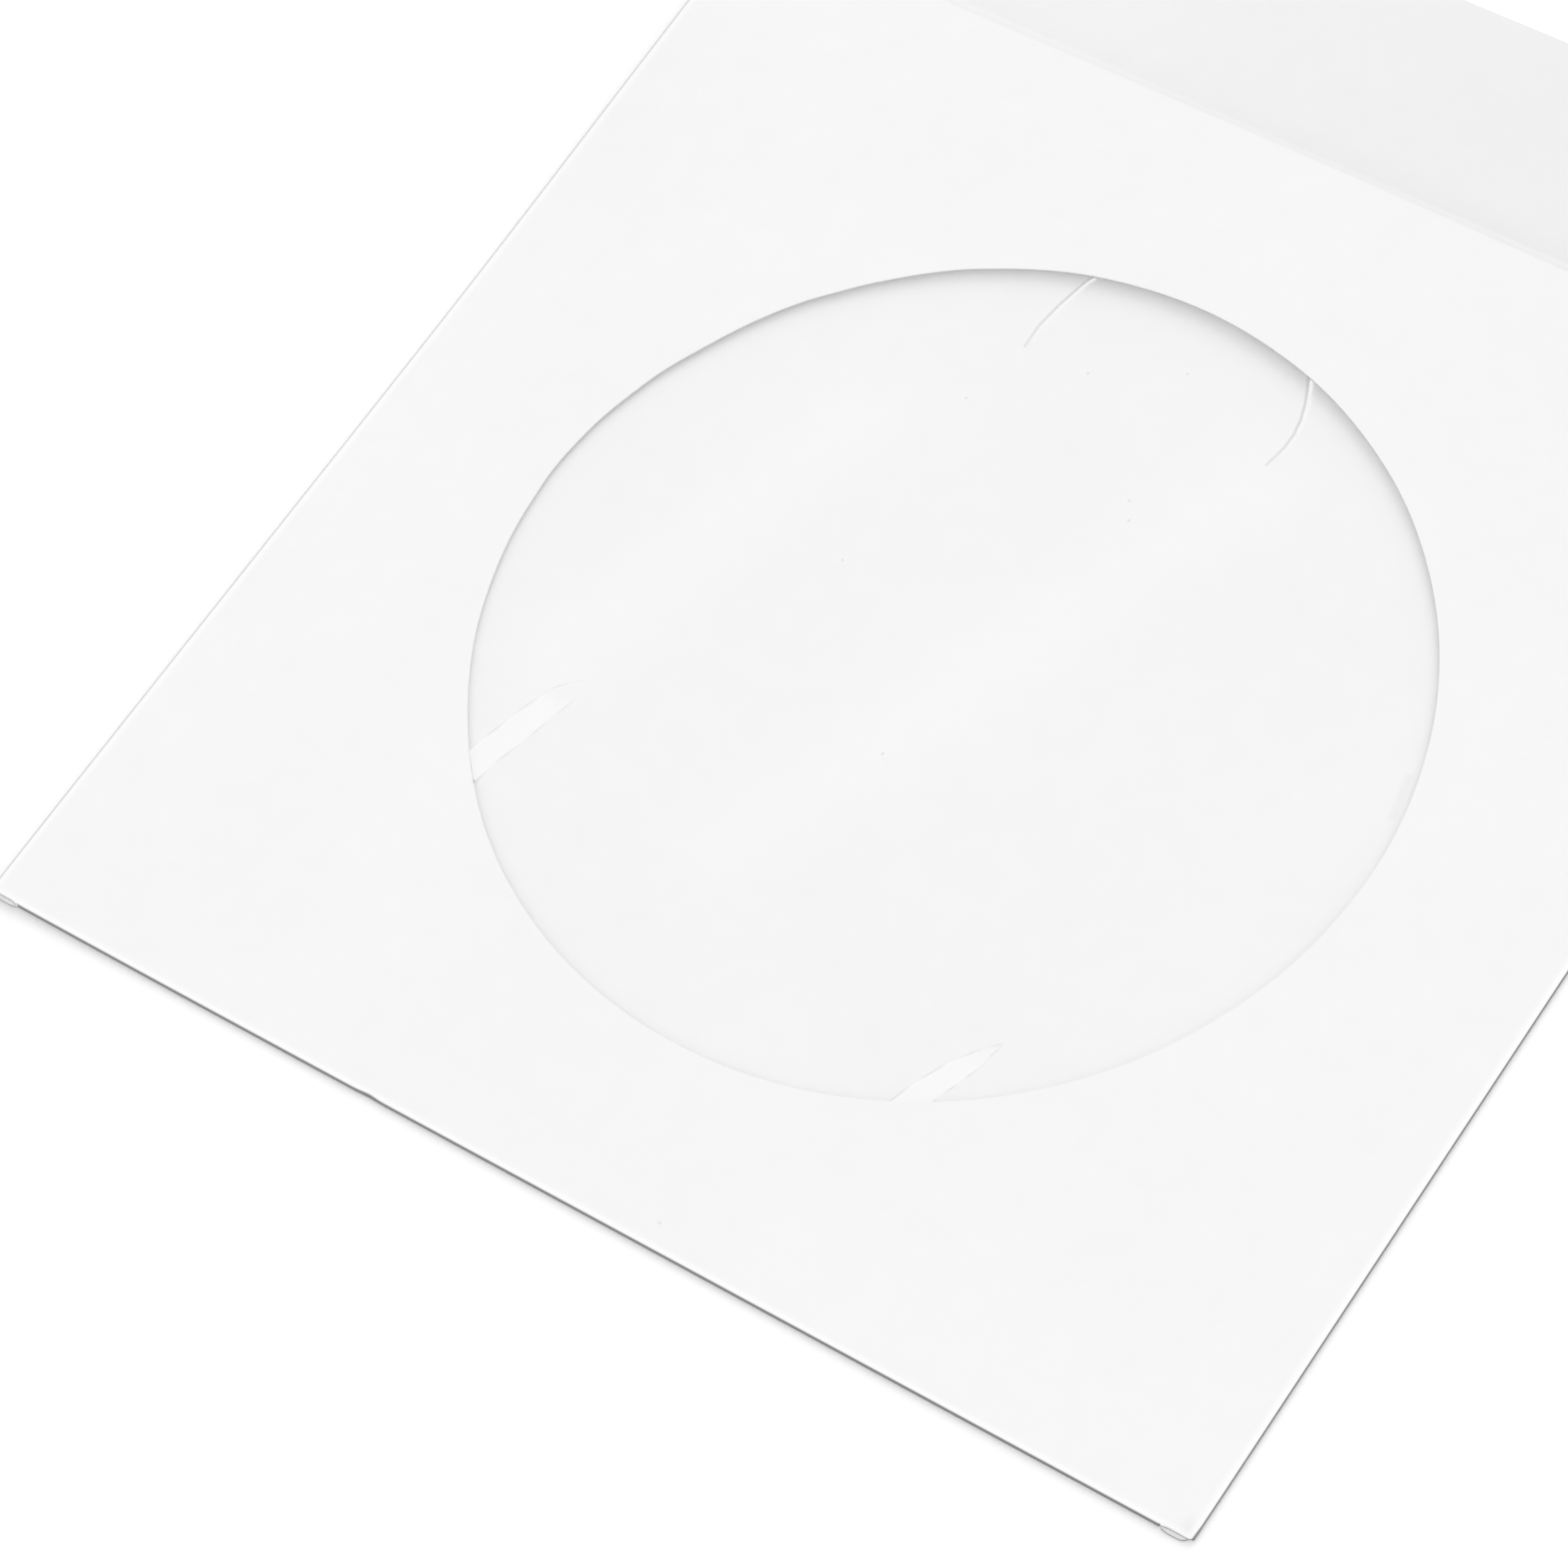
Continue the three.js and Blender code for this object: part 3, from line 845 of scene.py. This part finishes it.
def film_material():
    """Clear polypropylene film: it lets nearly all light through and glosses more towards
    grazing views. A grey marks its specks and faint haze, and is painted shade along creases and
    pleat edges.
    Pleats, one side of each hair crease and soft bands carry painted sheen, fixed in place."""
    material, tree, output = new_material("clear_polypropylene_film")
    place_on = add_node(tree, "TexCoord", {}).outputs["Object"]
    crease = add_node(tree, "Attribute", {}, attribute_name="crease").outputs["Fac"]
    painted_sheen_mark = add_node(tree, "Attribute", {}, attribute_name="gloss_and_painted_sheen").outputs["Fac"]
    # Light that falls through the film reaches the paper undimmed, as it does in a thin film
    path = add_node(tree, "LightPath", {})
    passing = add_node(tree, "Math", {
        0: path.outputs["Is Shadow Ray"], 1: path.outputs["Is Diffuse Ray"]},
        operation="MAXIMUM")
    seen = add_node(tree, "Math", {0: 1.0, 1: passing.outputs["Value"]}, operation="SUBTRACT")
    clear = add_node(tree, "BsdfTransparent", {"Color": linear("#FFFFFF")})
    gloss_and_painted_sheen = add_node(tree, "BsdfPrincipled", {
        "Base Color": linear("#FFFFFF"), "Metallic": 1.0, "Roughness": 0.12})
    # Both faces of the film gloss alike, so the gloss grows with the angle to either
    facing = add_node(tree, "LayerWeight", {"Blend": 0.5}).outputs["Facing"]
    grazing = add_node(tree, "Math", {0: facing, 1: 5.0}, operation="POWER")
    fresnel = add_node(tree, "MapRange", {
        "Value": grazing.outputs["Value"], "From Min": 0.0, "From Max": 1.0,
        "To Min": 0.015, "To Max": 0.9})
    # Painted sheen adds to the film's own grazing reflection, fixed in place
    total = add_node(tree, "Math", {
        0: fresnel.outputs["Result"], 1: painted_sheen_mark}, operation="ADD")
    sheen = add_node(tree, "Math", {
        0: total.outputs["Value"], 1: seen.outputs["Value"]}, operation="MULTIPLY")
    glossed = add_node(tree, "MixShader", {
        "Fac": sheen.outputs["Value"], 1: clear.outputs["BSDF"], 2: gloss_and_painted_sheen.outputs["BSDF"]})
    flat_place = add_node(tree, "VectorMath", {0: place_on, 1: (1, 1, 0)},
                          operation="MULTIPLY").outputs["Vector"]
    # A faint haze and the specks grey the film, and so does the painted shade of its creases
    flaws_and_painted_shade = add_node(tree, "Math", {0: crease, 1: FILM_HAZE},
                     operation="MAXIMUM").outputs["Value"]
    for x, y in FILM_SPECKS:
        away = add_node(tree, "VectorMath", {0: flat_place, 1: place(x, y, 0)},
                        operation="DISTANCE")
        dot = add_node(tree, "MapRange", {
            "Value": away.outputs["Value"], "From Min": 0.00008, "From Max": 0.0002,
            "To Min": 0.13, "To Max": 0.0})
        flaws_and_painted_shade = add_node(tree, "Math", {0: flaws_and_painted_shade, 1: dot.outputs["Result"]},
                         operation="MAXIMUM").outputs["Value"]
    grey = add_node(tree, "Math", {0: flaws_and_painted_shade, 1: seen.outputs["Value"]}, operation="MULTIPLY")
    flaw_and_shade_grey = add_node(tree, "BsdfDiffuse", {"Color": linear("#B0B0B0")})
    surface = add_node(tree, "MixShader", {
        "Fac": grey.outputs["Value"], 1: glossed.outputs["Shader"],
        2: flaw_and_shade_grey.outputs["BSDF"]})
    tree.links.new(surface.outputs["Shader"], output.inputs["Surface"])
    return material


# How much brighter than its lit surface the table shows to the camera
TABLE_GLOW = 0.06


def table_material():
    """Seamless white paper backdrop. To the camera it glows a little beyond white, as a lit
    studio table does, so that only the sleeve's close shadow shows on it."""
    material, tree, output = new_material("white_backdrop_paper")
    place_on = add_node(tree, "TexCoord", {}).outputs["Object"]
    cloud = add_node(tree, "TexNoise", {"Vector": place_on, "Scale": 20.0, "Detail": 2.0})
    colour = add_node(tree, "Mix", {
        "Factor": cloud.outputs["Fac"], 6: linear("#FEFEFE"), 7: linear("#FFFFFF")},
        data_type="RGBA")
    surface = add_node(tree, "BsdfDiffuse", {"Color": colour.outputs[2], "Roughness": 0.0})
    seen = add_node(tree, "LightPath", {}).outputs["Is Camera Ray"]
    strength = add_node(tree, "Math", {0: seen, 1: TABLE_GLOW}, operation="MULTIPLY")
    glow = add_node(tree, "Emission", {
        "Color": (1, 1, 1, 1), "Strength": strength.outputs["Value"]})
    both = add_node(tree, "AddShader", {0: surface.outputs["BSDF"], 1: glow.outputs["Emission"]})
    tree.links.new(both.outputs["Shader"], output.inputs["Surface"])
    return material


# ---------------------------------------------------------------- table, light and camera


def make_table():
    """A plain white table, far wider than the view"""
    bm = bmesh.new()
    bmesh.ops.create_grid(bm, x_segments=4, y_segments=4, size=3.0)
    mesh = bpy.data.meshes.new("table")
    bm.to_mesh(mesh)
    bm.free()
    table = bpy.data.objects.new("table", mesh)
    bpy.context.scene.collection.objects.link(table)
    mesh.materials.append(table_material())


# The surroundings and the lamp share the light. Together they give a flat white its own tone.
WORLD_LIGHT = 0.82
LAMP_LIGHT = 1 - WORLD_LIGHT
LAMP_SPREAD = math.radians(50)
LAMP_AZIMUTH, LAMP_HEIGHT = math.radians(100), math.radians(29)


def make_world():
    """Even white surroundings: plain light on things, and white to the camera and to gloss"""
    world = bpy.data.worlds.new("white_studio")
    bpy.context.scene.world = world
    world.use_nodes = True
    tree = world.node_tree
    tree.nodes.clear()
    path = add_node(tree, "LightPath", {})
    seen = add_node(tree, "Math", {
        0: path.outputs["Is Camera Ray"], 1: path.outputs["Is Glossy Ray"]},
        operation="MAXIMUM")
    shown = add_node(tree, "Math", {
        0: seen.outputs["Value"], 1: path.outputs["Is Transmission Ray"]},
        operation="MAXIMUM")
    strength = add_node(tree, "MapRange", {
        "Value": shown.outputs["Value"], "From Min": 0.0, "From Max": 1.0,
        "To Min": WORLD_LIGHT, "To Max": 1.0})
    background = add_node(tree, "Background", {
        "Color": (1, 1, 1, 1), "Strength": strength.outputs["Result"]})
    output = tree.nodes.new("ShaderNodeOutputWorld")
    tree.links.new(background.outputs["Background"], output.inputs["Surface"])


def make_lamp():
    """One distant softbox behind the sleeve, so that folds facing the viewer are in shade.
    Its mirror image is kept out of the film's gloss, which it would burn out."""
    light = bpy.data.lights.new("softbox", "SUN")
    light.angle = LAMP_SPREAD
    light.energy = LAMP_LIGHT * math.pi / math.sin(LAMP_HEIGHT)
    obj = bpy.data.objects.new("softbox", light)
    flat = math.cos(LAMP_HEIGHT)
    towards = Vector((
        flat * math.cos(LAMP_AZIMUTH), flat * math.sin(LAMP_AZIMUTH), math.sin(LAMP_HEIGHT)))
    obj.location = towards
    obj.rotation_euler = towards.to_track_quat("Z", "Y").to_euler()
    obj.visible_glossy = False
    bpy.context.scene.collection.objects.link(obj)


# The camera's place in metres and its axes, fitted to the photograph's edges and rim
CAMERA_PLACE = (0.20064, -0.22921, 0.45634)
CAMERA_TURN = (31.4669, 7.6885, 33.5985)
CAMERA_LENS = 141.296


def make_camera():
    """A long lens, from above the right-hand side and tilted as in the photograph"""
    data = bpy.data.cameras.new("camera")
    data.sensor_fit = "HORIZONTAL"
    data.sensor_width = 36
    data.lens = CAMERA_LENS
    data.clip_start = 0.01
    camera = bpy.data.objects.new("camera", data)
    camera.location = CAMERA_PLACE
    camera.rotation_euler = [math.radians(turn) for turn in CAMERA_TURN]
    bpy.context.scene.collection.objects.link(camera)
    bpy.context.scene.camera = camera


# ---------------------------------------------------------------- the scene

paper = make_paper()
paper.data.materials.append(paper_material())
paper.data.materials.append(cut_edge_material())
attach(paper, "root")
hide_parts("paper_sleeve")

film = make_film()
film.data.materials.append(film_material())
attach(film, "root")
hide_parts("window_film")

make_table()
make_world()
make_lamp()
make_camera()
bpy.context.scene.view_settings.view_transform = "Standard"
